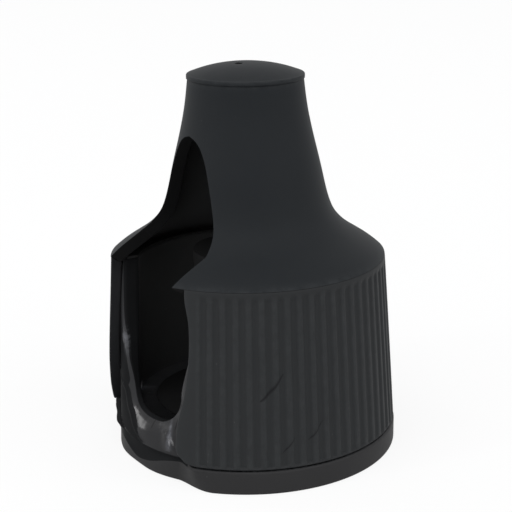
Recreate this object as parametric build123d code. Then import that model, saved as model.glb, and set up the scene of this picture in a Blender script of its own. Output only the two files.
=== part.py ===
# Hooded liquor pour spout with a ball-metered outlet, sizes in millimetres and degrees.
# The frame stands on the base: origin at the centre of the bottle socket's mouth, +Z up the spout,
# and the keyhole window faces -Y. The hood turns about Z on the inner barrel.
# Radii build outwards from the bottle's neck and from the metering ball, heights upwards from the base.
import os
from math import asin, degrees, sqrt
from build123d import *

# ---- clearances -------------------------------------------------------------------------------
running_gap = 0.3              # between the turning hood and the fixed side
seat_gap = 0.05                # between pieces of the same side
ball_gap = 0.15                # a resting ball to its seat

# ---- bottle socket and base -------------------------------------------------------------------
socket_radius = 14.0           # neck finish of a 28 mm bottle
grip_foot = 0.3                # the grip ring is set up from the base ring's foot
grip_wall = 1.55
grip_flange_thickness = 1.2
ring_shelf = 0.7               # the grip ring's flange lies on the base ring by this much
seam_height = 3.4              # top of the base ring, where the turning hood begins
ring_lip = 0.1                 # the base ring stands out past the skirt's foot
ring_chamfer = 0.3
relief_near_angle = 36.5       # the ring is set back below the window, from here
relief_far_angle = 50.0        # to here on its other side
relief_depth = 2.2
gasket_thickness = 0.6
slip_thickness = 0.25
slip_inset = 0.45
screw_radius = 0.8
screw_bite = 3.4               # length of the base screws inside the barrel
screw_head_radius = 1.6
screw_head_height = 1.2
screw_slot_width = 0.4
screw_angles = (60, 135, 210, 285)

# ---- barrel -----------------------------------------------------------------------------------
barrel_foot_wall = 3.0
barrel_head_wall = 1.35
barrel_top_drop = 1.3          # top of the barrel below the shoulder
ledge_thickness = 1.0
ledge_reach = 2.4
top_seal_thickness = 0.35
clip_drop = 1.6                # underside of the retaining clip below the barrel's top
clip_thickness = 0.7
clip_groove_depth = 0.6
clip_reach = 0.85
clip_gap_start = -47.0         # the C-clip's gap, about +Z from the window's middle
stop_lug_angle = 5.0
stop_lug_play = 0.5
hood_turn = 110.0              # from open to shut
pocket_rise = 9.6              # middle of the index spring's pocket above the seam
pocket_height = 7.0
pocket_width = 4.4
pocket_depth = 1.2
leaf_thickness = 0.35
leaf_margin = 0.3
nub_radius = 0.7
nub_reach = 0.25

# ---- outside of the hood ----------------------------------------------------------------------
shoulder_height = 28.6         # lower rim of the neck shell
shoulder_rise = 3.3            # straight part of the shoulder
shoulder_run = 4.6
skirt_wall = 1.95
skirt_belly = 0.025            # the skirt's side bows out by this at half height
rib_count = 72
rib_depth = 0.35
rib_width = 0.95
rib_plain_angle = 2.1          # plain strip between the window and the first rib
rib_top_gap = 0.5
throat_radius = 11.9           # where the shoulder's sweep meets the neck
throat_rise = 7.9              # height of that point above the shoulder's rim
neck_length = 25.6             # from the shoulder's rim to the top rim
neck_mid_radius = 9.7
neck_mid_drop = 8.6            # that radius lies this far below the top rim
neck_top_radius = 8.25
neck_wall = 1.8
neck_wall_drop = 1.0           # how far the shoulder's inner face lies below its outer one

# ---- window -----------------------------------------------------------------------------------
slot_top_half_width = 10.5
slot_half_width = 11.45        # skirt slot at its widest
slot_corner_flare = 0.8        # its rounded near corner runs out past the widest place
slot_far_flare = 4.6           # its far corner is cut back by this much at the seam
arch_half_width = 8.9          # neck opening at the shoulder
arch_bridge = 7.4              # solid neck above the arch
hole_half_width = 9.7          # barrel's own window at half height
hole_sill = 0.8                # lowest point of the barrel's window above its ledge
flare_spread = 1.7             # the barrel's window widens outwards by this much
flare_drop = 4.6               # and its sill falls by this much

# ---- metering stack ---------------------------------------------------------------------------
plate_flange_thickness = 0.6
plate_step = 0.8               # plate's face above its flange
ball_radius = 5.0
ball_travel = 11.0
ball_side_gap = 0.6
port_lap = 0.8                 # the resting ball overlaps its port by this much
seat_lap = 1.0                 # and the upper seat by this much
seat_thickness = 1.6
tube_wall = 1.2
tube_flange_reach = 1.8
tube_flange_thickness = 1.0
tube_gasket_thickness = 0.4
tube_screw_radius = 0.45
tube_screw_length = 2.4
tube_screw_head_radius = 0.75
tube_screw_head_height = 0.7
tube_screw_slot_width = 0.25
tube_screw_angles = (105, 225, 345)
cap_plug_height = 2.8
cap_skirt_height = 3.4
cap_plate_thickness = 1.2
cap_wall = 1.1
outlet_height = 2.4
outlet_wall = 1.0
breather_place_angle = 45
breather_bore_radius = 0.8
breather_wall = 0.55
breather_top_drop = 1.1        # top of the breather tube below the outlet's
breather_ball_radius = 1.3
breather_ball_travel = 1.8
breather_cage_wall = 0.9
breather_roof = 1.4

# ---- top of the neck --------------------------------------------------------------------------
rim_bead = 0.15                # the dome's rim stands out past the neck
dome_rim_height = 0.6
dome_edge = 0.2
dome_rise = 1.5                # dome above its rim
dome_fullness = 0.76           # share of that rise reached at half the radius
plug_depth = 3.7
plug_wall = 1.2
vent_radius = 0.55
vent_offset = 1.3
screen_step = 0.6              # the screen seats against this step in the plug's bore
screen_depth = 1.4             # step below the top of the neck
screen_thickness = 0.25
retainer_height = 1.2
retainer_wall = 0.9

# ---- radii, outwards from the bottle's neck ---------------------------------------------------
ring_bore_radius = socket_radius + grip_wall + seat_gap
grip_flange_radius = ring_bore_radius + ring_shelf
barrel_bore_radius = grip_flange_radius + 2 * seat_gap
ledge_bore_radius = barrel_bore_radius - ledge_reach
barrel_foot_radius = barrel_bore_radius + barrel_foot_wall
barrel_head_radius = barrel_bore_radius + barrel_head_wall
skirt_low_radius = barrel_foot_radius + running_gap + skirt_wall
skirt_top_radius = barrel_head_radius + running_gap + skirt_wall
skirt_mid_radius = (skirt_low_radius + skirt_top_radius) / 2 + skirt_belly
ring_radius = skirt_low_radius + ring_lip
screw_place_radius = (barrel_bore_radius + barrel_foot_radius) / 2
rib_margin = degrees(asin(slot_half_width / skirt_top_radius)) + rib_plain_angle

# ---- radii, outwards from the metering ball ---------------------------------------------------
port_radius = ball_radius - port_lap
seat_bore_radius = ball_radius - seat_lap
ball_bore_radius = ball_radius + ball_side_gap
tube_outer = ball_bore_radius + tube_wall
tube_flange_radius = tube_outer + tube_flange_reach
tube_screw_place = tube_outer + tube_flange_reach / 2
tube_gasket_radius = tube_screw_place - tube_screw_radius - 4 * seat_gap
cap_bore = tube_outer + seat_gap
breather_outer = breather_bore_radius + breather_wall
cage_bore = breather_ball_radius + running_gap
cage_outer = cage_bore + breather_cage_wall
breather_place_radius = tube_outer + cage_outer + running_gap
breather_x, breather_y, _ = Vector(breather_place_radius, 0, 0).rotate(Axis.Z, breather_place_angle)
gasket_bore_radius = breather_place_radius + breather_bore_radius + running_gap

# ---- heights ----------------------------------------------------------------------------------
skirt_foot = seam_height + slip_thickness
screw_length = seam_height + screw_bite
gasket_foot = seam_height + grip_flange_thickness
plate_foot = gasket_foot + gasket_thickness
ledge_foot = plate_foot + plate_flange_thickness
ledge_top = ledge_foot + ledge_thickness
hole_foot = ledge_top + hole_sill
pocket_middle = seam_height + pocket_rise
barrel_top = shoulder_height - barrel_top_drop
clip_height = barrel_top - clip_drop
spring_height = shoulder_height + shoulder_rise
rim_height = shoulder_height + neck_length
arch_top = rim_height - arch_bridge
plate_top = ledge_foot + plate_step
flange_foot = plate_top + tube_gasket_thickness
flange_top = flange_foot + tube_flange_thickness
ball_rest = plate_top + sqrt(ball_radius**2 - port_radius**2) + ball_gap
seat_foot = ball_rest + ball_travel + sqrt(ball_radius**2 - seat_bore_radius**2) + ball_gap
seat_top = seat_foot + seat_thickness
tube_top = seat_top + cap_plug_height
cap_top = tube_top + cap_plate_thickness
outlet_top = cap_top + outlet_height
breather_ball_rest = plate_top + sqrt(breather_ball_radius**2 - breather_bore_radius**2) + ball_gap
breather_mouth = breather_ball_rest + breather_ball_travel + breather_ball_radius
cage_top = breather_mouth + breather_roof
breather_top = outlet_top - breather_top_drop
screen_top = rim_height - screen_depth
plug_radius = neck_top_radius - neck_wall - seat_gap
plug_bore = plug_radius - plug_wall
dome_rim_radius = neck_top_radius + rim_bead


def barrel_radius(height):
    """Outside of the barrel's tapering wall."""
    share = (height - skirt_foot) / (shoulder_height - skirt_foot)
    return barrel_foot_radius + (barrel_head_radius - barrel_foot_radius) * share


clip_seat_radius = barrel_radius(clip_height) - clip_groove_depth + seat_gap
clip_radius = clip_seat_radius + clip_groove_depth + clip_reach
clip_bore = clip_radius + running_gap
lug_start = clip_gap_start + stop_lug_play
clip_gap_end = clip_gap_start + stop_lug_angle + hood_turn + 2 * stop_lug_play


def ring(outer, inner, low, high):
    """Tube about Z, or a disc when inner is 0."""
    edge = [(inner, low), (outer, low), (outer, high), (inner, high)]
    return turned(edge)


def turned(points):
    """Solid turned about Z from the corners (radius, height) of its half section."""
    section = make_face(Polyline(*[(x, 0, z) for x, z in points], close=True))
    return revolve(section, Axis.Z)


def closed_face(lines):
    """Face inside a closed run of lines."""
    return make_face(Wire([edge for line in lines for edge in line.edges()]))


def at_angle(angle):
    """Turns a feature drawn at the window's middle, on -Y, round to an angle about Z."""
    return Rot(0, 0, angle)


def sector(start, end, low, high):
    """Upright wedge about Z between two angles from the window's middle."""
    reach = 2 * ring_radius
    spokes = [start + (end - start) * k / 4 for k in range(5)]
    rim = [Vector(0, -reach, 0).rotate(Axis.Z, spoke) for spoke in spokes]
    wedge = make_face(Polyline((0, 0, 0), *rim, close=True))
    return Pos(0, 0, low) * extrude(wedge, high - low, dir=(0, 0, 1))


def relief_sector(low, high):
    """Sector below the window where the ring is set back."""
    return sector(-relief_far_angle, relief_near_angle, low, high)


def upright_face(right, tangents=None, foot=None):
    """Upright face in XZ: a curve through the points of its right-hand edge, mirrored in x and closed.

    The curve may end on the mirror line. With foot, straight jambs run on down to that height.
    """
    points = [(x, 0, z) for x, z in right]
    half = [Spline(*points, tangents=tangents)]
    if foot is not None:
        half.append(Line(points[-1], (right[-1][0], 0, foot)))
    edges = half + [mirror(edge, about=Plane.YZ) for edge in half]
    width = right[-1][0] if right[-1][0] > 0 else 0
    low = right[-1][1] if foot is None else foot
    if width:
        edges.append(Line((-width, 0, low), (width, 0, low)))
    if right[0][0] > 0:
        edges.append(Line((-right[0][0], 0, right[0][1]), (right[0][0], 0, right[0][1])))
    return closed_face(edges)


# ---- openings ---------------------------------------------------------------------------------
def window_cut(face):
    """Straight cut towards -Y through one wall, from a face drawn in XZ."""
    return extrude(face, 2 * skirt_low_radius, dir=(0, -1, 0))


def slot_face():
    """Skirt's slot: nearly upright sides, a rounded near corner and a far corner cut well back."""
    rise = shoulder_height - skirt_foot
    near = Spline(
        (slot_top_half_width, 0, shoulder_height + running_gap),
        (slot_half_width - 0.2, 0, skirt_foot + 0.755 * rise),
        (slot_half_width, 0, skirt_foot + 0.555 * rise),
        (slot_half_width - 0.6, 0, skirt_foot + 0.33 * rise),
        (slot_half_width - 1.2, 0, skirt_foot + 0.13 * rise),
        (slot_half_width - 1.1, 0, skirt_foot + 0.06 * rise),
        (slot_half_width + slot_corner_flare, 0, skirt_foot - running_gap),
    )
    far = Spline(
        (-slot_half_width - slot_far_flare, 0, skirt_foot - running_gap),
        (-slot_half_width - 0.65 * slot_far_flare, 0, skirt_foot + 0.126 * rise),
        (-slot_half_width - 0.28 * slot_far_flare, 0, skirt_foot + 0.33 * rise),
        (-slot_half_width - 0.04 * slot_far_flare, 0, skirt_foot + 0.555 * rise),
        (-slot_half_width + 0.2, 0, skirt_foot + 0.755 * rise),
        (-slot_top_half_width, 0, shoulder_height + running_gap),
    )
    return closed_face([near, Line(near @ 1, far @ 0), far, Line(far @ 1, near @ 0)])


def arch_face():
    """Neck opening: straight jambs through the shoulder, then a slender arch."""
    rise = arch_top - spring_height
    crown = [
        (0, arch_top),
        (0.29 * arch_half_width, arch_top - 0.08 * rise),
        (0.52 * arch_half_width, arch_top - 0.31 * rise),
        (0.77 * arch_half_width, arch_top - 0.725 * rise),
        (arch_half_width, spring_height),
    ]
    return upright_face(crown, [(1, 0, 0), (0, 0, -1)], foot=shoulder_height - 2 * neck_wall)


def hole_face(spread, drop):
    """Barrel's window, a tall U, widened by spread and with its sill lowered by drop."""
    rise = shoulder_height - hole_foot
    right = [
        (hole_half_width + 0.4 + 0.2 * spread, shoulder_height),
        (hole_half_width + 0.6 * spread, hole_foot + 0.57 * rise),
        (hole_half_width - 1.4 + spread, hole_foot + 0.26 * rise),
        (hole_half_width - 3.4 + spread, hole_foot + 0.07 * rise - 0.6 * drop),
        (0, hole_foot - drop),
    ]
    return upright_face(right, [(-0.05, 0, -1), (-1, 0, 0)])


# ---- fixed side -------------------------------------------------------------------------------
def make_base_ring():
    body = ring(ring_radius, ring_bore_radius, 0, seam_height)
    lower_edges = body.edges().filter_by(GeomType.CIRCLE).group_by(Axis.Z)[0]
    body = chamfer(lower_edges.sort_by(SortBy.RADIUS)[-1], ring_chamfer)
    relief = ring(2 * ring_radius, ring_radius - relief_depth, -1, seam_height + 1)
    body -= relief & relief_sector(-1, seam_height + 1)
    for angle in screw_angles:
        body -= at_angle(angle) * Pos(0, -screw_place_radius, 0) * screw(seat_gap)
    return body


def screw(gap):
    """Pan-head base screw on the origin, head down, grown by gap."""
    head_height = screw_head_height + gap
    head = Pos(0, 0, head_height / 2) * Cylinder(screw_head_radius + gap, head_height)
    shank = Pos(0, 0, screw_length / 2) * Cylinder(screw_radius + gap, screw_length + 2 * gap)
    return head + shank


def make_base_screws():
    bodies = []
    for angle in screw_angles:
        place = at_angle(angle) * Pos(0, -screw_place_radius, 0)
        drive = Box(1.25 * screw_head_radius, screw_slot_width, screw_head_height)
        bodies.append(place * (screw(0) - drive))
    return bodies


def make_grip_ring():
    return turned([
        (socket_radius, grip_foot),
        (ring_bore_radius - seat_gap, grip_foot),
        (ring_bore_radius - seat_gap, seam_height),
        (grip_flange_radius, seam_height),
        (grip_flange_radius, gasket_foot),
        (socket_radius, gasket_foot),
    ])


def make_lip_gasket():
    return ring(grip_flange_radius, gasket_bore_radius, gasket_foot, plate_foot)


def make_slip_ring():
    body = ring(skirt_low_radius - slip_inset, barrel_foot_radius + running_gap, seam_height, skirt_foot)
    return body - relief_sector(0, shoulder_height)


def make_inner_barrel():
    body = turned([
        (ledge_bore_radius, ledge_foot),
        (barrel_bore_radius, ledge_foot),
        (barrel_bore_radius, seam_height),
        (barrel_radius(seam_height), seam_height),
        (barrel_radius(barrel_top), barrel_top),
        (barrel_bore_radius, barrel_top),
        (barrel_bore_radius, ledge_top),
        (ledge_bore_radius, ledge_top),
    ])
    outer_face = Pos(0, -barrel_foot_radius - 0.5, 0) * hole_face(flare_spread, flare_drop)
    inner_face = Pos(0, -barrel_bore_radius + 0.5, 0) * hole_face(0, 0)
    body -= loft([outer_face.face(), inner_face.face()])
    body -= extrude(inner_face, barrel_bore_radius / 2, dir=(0, 1, 0))
    body -= ring(2 * ring_radius, clip_seat_radius - seat_gap, clip_height, clip_height + clip_thickness)
    for angle in screw_angles:
        body -= at_angle(angle) * Pos(0, -screw_place_radius, 0) * screw(seat_gap)
    pocket = Box(pocket_width, 2 * pocket_depth, pocket_height)
    body -= at_angle(180) * Pos(0, -barrel_radius(pocket_middle), pocket_middle) * pocket
    return body


def make_barrel_top_seal():
    seal_top = barrel_top + top_seal_thickness
    body = ring(barrel_radius(barrel_top) - seat_gap, barrel_bore_radius, barrel_top, seal_top)
    return body - window_cut(hole_face(flare_spread, flare_drop))


def make_retaining_clip():
    body = ring(clip_radius, clip_seat_radius, clip_height, clip_height + clip_thickness)
    return body - sector(clip_gap_start, clip_gap_end, 0, shoulder_height)


def nub(grow):
    """Click nub of the index spring, drawn at the window's middle."""
    reach = barrel_radius(pocket_middle) + nub_reach - nub_radius
    return Pos(0, -reach, pocket_middle) * Sphere(nub_radius + grow)


def make_index_spring():
    """Leaf in the barrel's back pocket, whose nub clicks into the skirt at open and at shut."""
    back = -barrel_radius(pocket_middle) + pocket_depth - seat_gap
    leaf = Box(pocket_width - 2 * leaf_margin, leaf_thickness, pocket_height - 2 * leaf_margin)
    leaf = Pos(0, back - leaf_thickness / 2, pocket_middle) * leaf
    front = Pos(0, back - pocket_width, pocket_middle) * Box(pocket_width, 2 * pocket_width, pocket_width)
    return at_angle(180) * (leaf + (nub(0) & front))


def make_port_plate():
    body = turned([
        (port_radius, plate_foot),
        (grip_flange_radius - seat_gap, plate_foot),
        (grip_flange_radius - seat_gap, ledge_foot),
        (ledge_bore_radius - seat_gap, ledge_foot),
        (ledge_bore_radius - seat_gap, plate_top),
        (port_radius, plate_top),
    ])
    body -= Pos(breather_x, breather_y, 0) * Cylinder(breather_bore_radius, 4 * plate_top)
    return body - tube_screw_holes()


def tube_screw_holes():
    holes = []
    for angle in tube_screw_angles:
        drill = Cylinder(tube_screw_radius + seat_gap, 4 * plate_top)
        holes.append(Rot(0, 0, angle) * Pos(tube_screw_place, 0, 0) * drill)
    return holes


def make_tube_gasket():
    return ring(tube_gasket_radius, ball_bore_radius, plate_top, flange_foot)


def make_metering_tube():
    body = turned([
        (ball_bore_radius, flange_foot),
        (tube_flange_radius, flange_foot),
        (tube_flange_radius, flange_top),
        (tube_outer, flange_top),
        (tube_outer, tube_top),
        (ball_bore_radius, tube_top),
    ])
    body -= Pos(breather_x, breather_y, 0) * Cylinder(cage_outer + seat_gap, 4 * flange_top)
    return body - tube_screw_holes()


def make_tube_screws():
    bodies = []
    for angle in tube_screw_angles:
        place = Rot(0, 0, angle) * Pos(tube_screw_place, 0, flange_top)
        head = Cylinder(tube_screw_head_radius, tube_screw_head_height)
        head = Pos(0, 0, tube_screw_head_height / 2) * head
        shank = Pos(0, 0, -tube_screw_length / 2) * Cylinder(tube_screw_radius, tube_screw_length)
        drive = Box(3 * tube_screw_head_radius, tube_screw_slot_width, tube_screw_head_height / 2)
        drive = Pos(0, 0, tube_screw_head_height) * drive
        bodies.append(place * (head + shank - drive))
    return bodies


def make_ball_seat():
    return ring(ball_bore_radius - seat_gap, seat_bore_radius, seat_foot, seat_top)


def make_nozzle_cap():
    """Screwed cap: its plug holds the ball seat, and its outlet points up into the neck."""
    return turned([
        (seat_bore_radius, seat_top),
        (ball_bore_radius - seat_gap, seat_top),
        (ball_bore_radius - seat_gap, tube_top),
        (cap_bore, tube_top),
        (cap_bore, tube_top - cap_skirt_height),
        (cap_bore + cap_wall, tube_top - cap_skirt_height),
        (cap_bore + cap_wall, cap_top),
        (seat_bore_radius + outlet_wall, cap_top),
        (seat_bore_radius + outlet_wall, outlet_top),
        (seat_bore_radius, outlet_top),
    ])


def make_breather_cage():
    body = ring(cage_outer, cage_bore, plate_top, breather_mouth)
    roof = ring(cage_outer, breather_outer + seat_gap, breather_mouth, cage_top)
    return Pos(breather_x, breather_y, 0) * (body + roof)


def make_breather_tube():
    body = ring(breather_outer, breather_bore_radius, breather_mouth, breather_top)
    return Pos(breather_x, breather_y, 0) * body


# ---- turning hood -----------------------------------------------------------------------------
def skirt_line(inset):
    """Skirt's outer line from seam to shoulder, moved inwards by inset."""
    middle = (skirt_foot + shoulder_height) / 2
    low = (skirt_low_radius - inset, 0, skirt_foot)
    high = (skirt_top_radius - inset, 0, shoulder_height)
    return ThreePointArc(low, (skirt_mid_radius - inset, 0, middle), high)


def make_rib_prisms():
    """Upright bars all round, except beside the window, later trimmed by the skirt's outer face."""
    pitch = 360 / rib_count
    bars = []
    height = shoulder_height - skirt_foot - rib_top_gap
    for k in range(rib_count):
        angle = (k + 0.5) * pitch
        from_window = min(angle, 360 - angle)
        if from_window > rib_margin:
            bar = Pos(0, 0, height / 2) * Box(rib_width, 2 * skirt_wall, height)
            bars.append(at_angle(angle) * Pos(0, -skirt_mid_radius, skirt_foot) * bar)
    return Compound(bars)


def skirt_shell(outer_inset, inner_points):
    """Turned shell between the skirt's outer line and an inner line of (radius, height) corners."""
    line = skirt_line(outer_inset)
    inner = [(x, 0, z) for x, z in inner_points]
    edges = [line, Polyline(line @ 1, *inner, line @ 0)]
    return revolve(closed_face(edges), Axis.Z)


def make_ribbed_skirt():
    ledge = clip_height - seat_gap
    bore_at_ledge = barrel_radius(ledge) + running_gap
    inside = [
        (clip_bore, shoulder_height),
        (clip_bore, ledge),
        (bore_at_ledge, ledge),
        (barrel_foot_radius + running_gap, skirt_foot),
    ]
    body = skirt_shell(rib_depth, inside)
    rib_skin = skirt_shell(0, [
        (skirt_top_radius - 2 * rib_depth, shoulder_height),
        (skirt_low_radius - 2 * rib_depth, skirt_foot),
    ])
    body += rib_skin & make_rib_prisms()
    lug_bore = barrel_radius(clip_height) + running_gap
    stop_lug = ring(clip_bore + seat_gap, lug_bore, clip_height, clip_height + clip_thickness)
    body += stop_lug & sector(lug_start, lug_start + stop_lug_angle, 0, shoulder_height)
    body -= window_cut(slot_face())
    for angle in (180, 180 - hood_turn):
        body -= at_angle(angle) * nub(running_gap)
    return body


def neck_line(inset, drop):
    """Neck shell's line from the shoulder's rim up to the top rim, moved inwards and down."""
    corner = (skirt_top_radius - inset, 0, shoulder_height - drop)
    slope_top = (corner[0] - shoulder_run, 0, corner[2] + shoulder_rise)
    sweep_radius = throat_radius + 0.31 * (skirt_top_radius - shoulder_run - throat_radius)
    sweep_height = shoulder_height + (shoulder_rise + throat_rise) / 2
    sweep = (sweep_radius - inset, 0, sweep_height - drop / 2)
    throat = (throat_radius - inset, 0, shoulder_height + throat_rise)
    waist = (neck_mid_radius - inset, 0, rim_height - neck_mid_drop)
    top = (neck_top_radius - inset, 0, rim_height)
    slope = (-shoulder_run, 0, shoulder_rise)
    curve = Spline(slope_top, sweep, throat, waist, top, tangents=[slope, (-1, 0, 6)])
    return [Line(corner, slope_top), curve]


def make_neck_shell():
    """Neck, shoulder and the spigot that snaps into the skirt's top."""
    outer = neck_line(0, 0)
    inner = neck_line(neck_wall, neck_wall_drop)
    spigot = clip_bore - seat_gap
    spigot_foot = clip_height + clip_thickness + running_gap
    foot = Polyline(
        outer[0] @ 0,
        (spigot, 0, shoulder_height),
        (spigot, 0, spigot_foot),
        (skirt_top_radius - neck_wall, 0, spigot_foot),
        inner[0] @ 0,
    )
    edges = outer + inner + [foot, Line(outer[-1] @ 1, inner[-1] @ 1)]
    body = revolve(closed_face(edges), Axis.Z)
    return body - window_cut(arch_face())


def make_dome_cap():
    rim_top = rim_height + dome_rim_height
    apex = rim_top + dome_rise
    shoulder = (dome_rim_radius - dome_edge, 0, rim_top)
    halfway = (dome_rim_radius / 2, 0, rim_top + dome_fullness * dome_rise)
    crown = ThreePointArc(shoulder, halfway, (0, 0, apex))
    under = Polyline(
        (0, 0, apex),
        (0, 0, rim_height + screen_step),
        (plug_bore - screen_step, 0, rim_height + screen_step),
        (plug_bore - screen_step, 0, screen_top),
        (plug_bore, 0, screen_top),
        (plug_bore, 0, rim_height - plug_depth),
        (plug_radius, 0, rim_height - plug_depth),
        (plug_radius, 0, rim_height),
        (dome_rim_radius, 0, rim_height),
        (dome_rim_radius, 0, rim_top - dome_edge),
        shoulder,
    )
    body = revolve(closed_face([crown, under]), Axis.Z)
    return body - Pos(0, -vent_offset, apex) * Cylinder(vent_radius, 4 * dome_rise)


def make_vent_screen():
    return ring(plug_bore - seat_gap, 0, screen_top - screen_thickness, screen_top)


def make_screen_retainer():
    top = screen_top - screen_thickness
    return ring(plug_bore - seat_gap, plug_bore - retainer_wall, top - retainer_height, top)


# ---- write one STEP per piece -----------------------------------------------------------------
pieces = {
    "base_ring": make_base_ring(),
    "base_screws": make_base_screws(),
    "grip_ring": make_grip_ring(),
    "lip_gasket": make_lip_gasket(),
    "slip_ring": make_slip_ring(),
    "inner_barrel": make_inner_barrel(),
    "barrel_top_seal": make_barrel_top_seal(),
    "retaining_clip": make_retaining_clip(),
    "index_spring": make_index_spring(),
    "port_plate": make_port_plate(),
    "tube_gasket": make_tube_gasket(),
    "metering_tube": make_metering_tube(),
    "tube_screws": make_tube_screws(),
    "ball_seat": make_ball_seat(),
    "nozzle_cap": make_nozzle_cap(),
    "metering_ball": Pos(0, 0, ball_rest) * Sphere(ball_radius),
    "breather_cage": make_breather_cage(),
    "breather_tube": make_breather_tube(),
    "breather_ball": Pos(breather_x, breather_y, breather_ball_rest) * Sphere(breather_ball_radius),
    "ribbed_skirt": make_ribbed_skirt(),
    "neck_shell": make_neck_shell(),
    "dome_cap": make_dome_cap(),
    "vent_screen": make_vent_screen(),
    "screen_retainer": make_screen_retainer(),
}

os.makedirs("parts", exist_ok=True)
for name, piece in pieces.items():
    solids = piece if isinstance(piece, list) else piece.solids()
    export_step(Compound(list(solids)) if len(solids) > 1 else solids[0], f"parts/{name}.step")
    print(name, len(solids))
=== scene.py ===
import math
import bmesh
import bpy
import numpy as np
from mathutils import Matrix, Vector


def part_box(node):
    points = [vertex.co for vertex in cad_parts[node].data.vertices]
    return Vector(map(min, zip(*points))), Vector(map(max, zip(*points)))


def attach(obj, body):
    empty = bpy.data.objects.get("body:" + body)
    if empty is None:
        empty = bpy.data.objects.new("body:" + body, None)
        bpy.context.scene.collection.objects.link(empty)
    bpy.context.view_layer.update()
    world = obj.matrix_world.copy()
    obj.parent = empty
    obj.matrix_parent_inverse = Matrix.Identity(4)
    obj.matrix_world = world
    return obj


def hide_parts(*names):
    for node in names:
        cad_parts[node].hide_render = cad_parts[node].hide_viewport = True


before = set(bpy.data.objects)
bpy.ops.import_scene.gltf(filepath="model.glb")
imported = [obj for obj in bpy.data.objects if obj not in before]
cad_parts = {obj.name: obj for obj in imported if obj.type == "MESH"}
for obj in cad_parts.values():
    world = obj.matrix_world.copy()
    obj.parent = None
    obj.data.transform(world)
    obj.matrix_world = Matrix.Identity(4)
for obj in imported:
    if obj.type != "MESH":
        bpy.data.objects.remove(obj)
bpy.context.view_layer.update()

mm = 0.001               # lengths below are in millimetres, azimuths in degrees, unless a note says otherwise
print("frame loaded:", len(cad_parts), "pieces")

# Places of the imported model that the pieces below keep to
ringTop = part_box("base_ring")[1].z / mm
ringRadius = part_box("base_ring")[1].x / mm
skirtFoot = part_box("ribbed_skirt")[0].z / mm
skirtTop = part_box("ribbed_skirt")[1].z / mm
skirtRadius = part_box("ribbed_skirt")[1].x / mm
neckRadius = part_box("neck_shell")[1].x / mm
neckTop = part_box("neck_shell")[1].z / mm
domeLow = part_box("dome_cap")[0].z / mm
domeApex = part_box("dome_cap")[1].z / mm
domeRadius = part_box("dome_cap")[1].x / mm
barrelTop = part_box("inner_barrel")[1].z / mm
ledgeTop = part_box("port_plate")[1].z / mm + 0.2


# Smooth line through a few points: cubic pieces whose slopes and bends match where they meet
def splineThrough(knots, values):
    knots, values = np.array(knots, float), np.array(values, float)
    n = len(knots)
    gap = np.diff(knots)
    system = np.eye(n)
    right = np.zeros(n)
    for i in range(1, n - 1):
        system[i, i - 1:i + 2] = gap[i - 1], 2 * (gap[i - 1] + gap[i]), gap[i]
        right[i] = 6 * ((values[i + 1] - values[i]) / gap[i] - (values[i] - values[i - 1]) / gap[i - 1])
    bend = np.linalg.solve(system, right)

    def line(x):
        x = np.clip(np.asarray(x, float), knots[0], knots[-1])
        i = np.clip(np.searchsorted(knots, x, side="right") - 1, 0, n - 2)
        a = (knots[i + 1] - x) / gap[i]
        b = 1 - a
        curve = ((a ** 3 - a) * bend[i] + (b ** 3 - b) * bend[i + 1]) * gap[i] ** 2 / 6
        return a * values[i] + b * values[i + 1] + curve
    return line


# 0 below low, 1 above high, and between them the smooth S 3t^2 - 2t^3
def ease(x, low, high):
    t = np.clip((np.asarray(x, float) - low) / (high - low), 0, 1)
    return t * t * (3 - 2 * t)


# Bell that is 1 at its middle: exp(-((x - middle) / spread)^2)
def bell(x, middle, spread):
    return np.exp(-((x - middle) / spread) ** 2)


# Point at an azimuth, which is counted from the window's middle at -Y towards +X
def around(radius, azimuth, height):
    angle = np.radians(azimuth)
    x, y, z = np.broadcast_arrays(radius * np.sin(angle), -radius * np.cos(angle), height)
    return np.stack([x, y, z], axis=-1)


# Azimuth at which a wall of some radius meets the edge of a cut of some half width
def edgeAngle(halfWidth, radius):
    return np.degrees(np.arcsin(np.clip(halfWidth / radius, 0, 1)))


# Grid that runs straight from one row of points to another
def blendRows(first, last, steps):
    t = np.linspace(0, 1, steps + 1)[:, None, None]
    return first[None] * (1 - t) + last[None] * t


# Four-cornered faces between the neighbours of a grid of vertex numbers
def quadsOf(index):
    corners = [index[:-1, :-1], index[:-1, 1:], index[1:, 1:], index[1:, :-1]]
    return np.stack(corners, axis=-1).reshape(-1, 4)


meshJoin = {"mergeDistance": 2e-6, "smallestEdge": 1e-7}       # metres


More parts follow.
